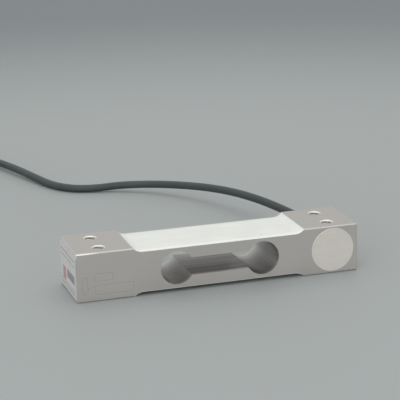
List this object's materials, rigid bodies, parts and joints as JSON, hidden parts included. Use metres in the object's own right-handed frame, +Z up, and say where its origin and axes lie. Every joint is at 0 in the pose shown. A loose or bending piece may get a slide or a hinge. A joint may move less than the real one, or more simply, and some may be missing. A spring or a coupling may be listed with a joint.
{
  "type": "single point load cell",
  "caption": "Aluminium single point load cell with a binocular bending section, white silicone over its strain gauges, threaded mounting holes at both ends and a bare-ended signal cable.",
  "frame": {"origin": "Middle of the beam's underside, on the plane of its two end pads. The cable and its pieces are left out of this.", "axes": "+X runs along the beam from the load end to the fixed end, where the cable leaves. -Y is the face with the round foil disc, and the cable leaves the +Y face. +Z is up, out of the loaded face."},
  "size_m": [0.2212, 0.3143, 0.022],
  "materials": {
    "aluminium_bar": "clear anodised over a fine ground surface",
    "white_silicone": "soft, satin, slightly uneven",
    "cable_sheath": "matte PVC",
    "sealant": "satin adhesive",
    "nylon_tie": "black nylon",
    "board_laminate": "green solder mask over glass fibre",
    "copper_foil": "bare copper",
    "solder": "tin solder",
    "resistor_body": "moulded chip",
    "foil_disc": "satin adhesive foil",
    "label_film": "silver-white printed film",
    "tinned_copper": "tinned copper strands",
    "gauge_backing": "amber polyimide",
    "gauge_foil": "etched constantan",
    "enamelled_wire": "enamelled copper pair",
    "insulation_red": "PVC",
    "insulation_black": "PVC",
    "insulation_green": "PVC",
    "insulation_white": "PVC"
  },
  "bodies": {
    "root": {"beam": "aluminium_bar", "top_silicone": "white_silicone", "bottom_silicone": "white_silicone", "pocket_silicone": "white_silicone", "cable_jacket": "cable_sheath", "cable_coil": "cable_sheath", "cable_tail": "cable_sheath", "cable_seal": "sealant", "coil_tie": "nylon_tie", "terminal_board": "board_laminate", "terminal_pads": "copper_foil", "solder_joints": "solder", "zero_trim_resistor": "resistor_body", "span_trim_resistor": "resistor_body", "cover_disc": "foil_disc", "end_label": "label_film", "shield_drain": "tinned_copper", "gauge_carrier_top_load_end": "gauge_backing", "gauge_grid_top_load_end": "gauge_foil", "gauge_lead_top_load_end": "enamelled_wire", "gauge_carrier_top_fixed_end": "gauge_backing", "gauge_grid_top_fixed_end": "gauge_foil", "gauge_lead_top_fixed_end": "enamelled_wire", "gauge_carrier_bottom_load_end": "gauge_backing", "gauge_grid_bottom_load_end": "gauge_foil", "gauge_lead_bottom_load_end": "enamelled_wire", "gauge_carrier_bottom_fixed_end": "gauge_backing", "gauge_grid_bottom_fixed_end": "gauge_foil", "gauge_lead_bottom_fixed_end": "enamelled_wire", "core_red": "insulation_red", "inner_core_red": "insulation_red", "core_tip_red": "tinned_copper", "core_black": "insulation_black", "inner_core_black": "insulation_black", "core_tip_black": "tinned_copper", "core_green": "insulation_green", "inner_core_green": "insulation_green", "core_tip_green": "tinned_copper", "core_white": "insulation_white", "inner_core_white": "insulation_white", "core_tip_white": "tinned_copper"}
  },
  "joints": []
}
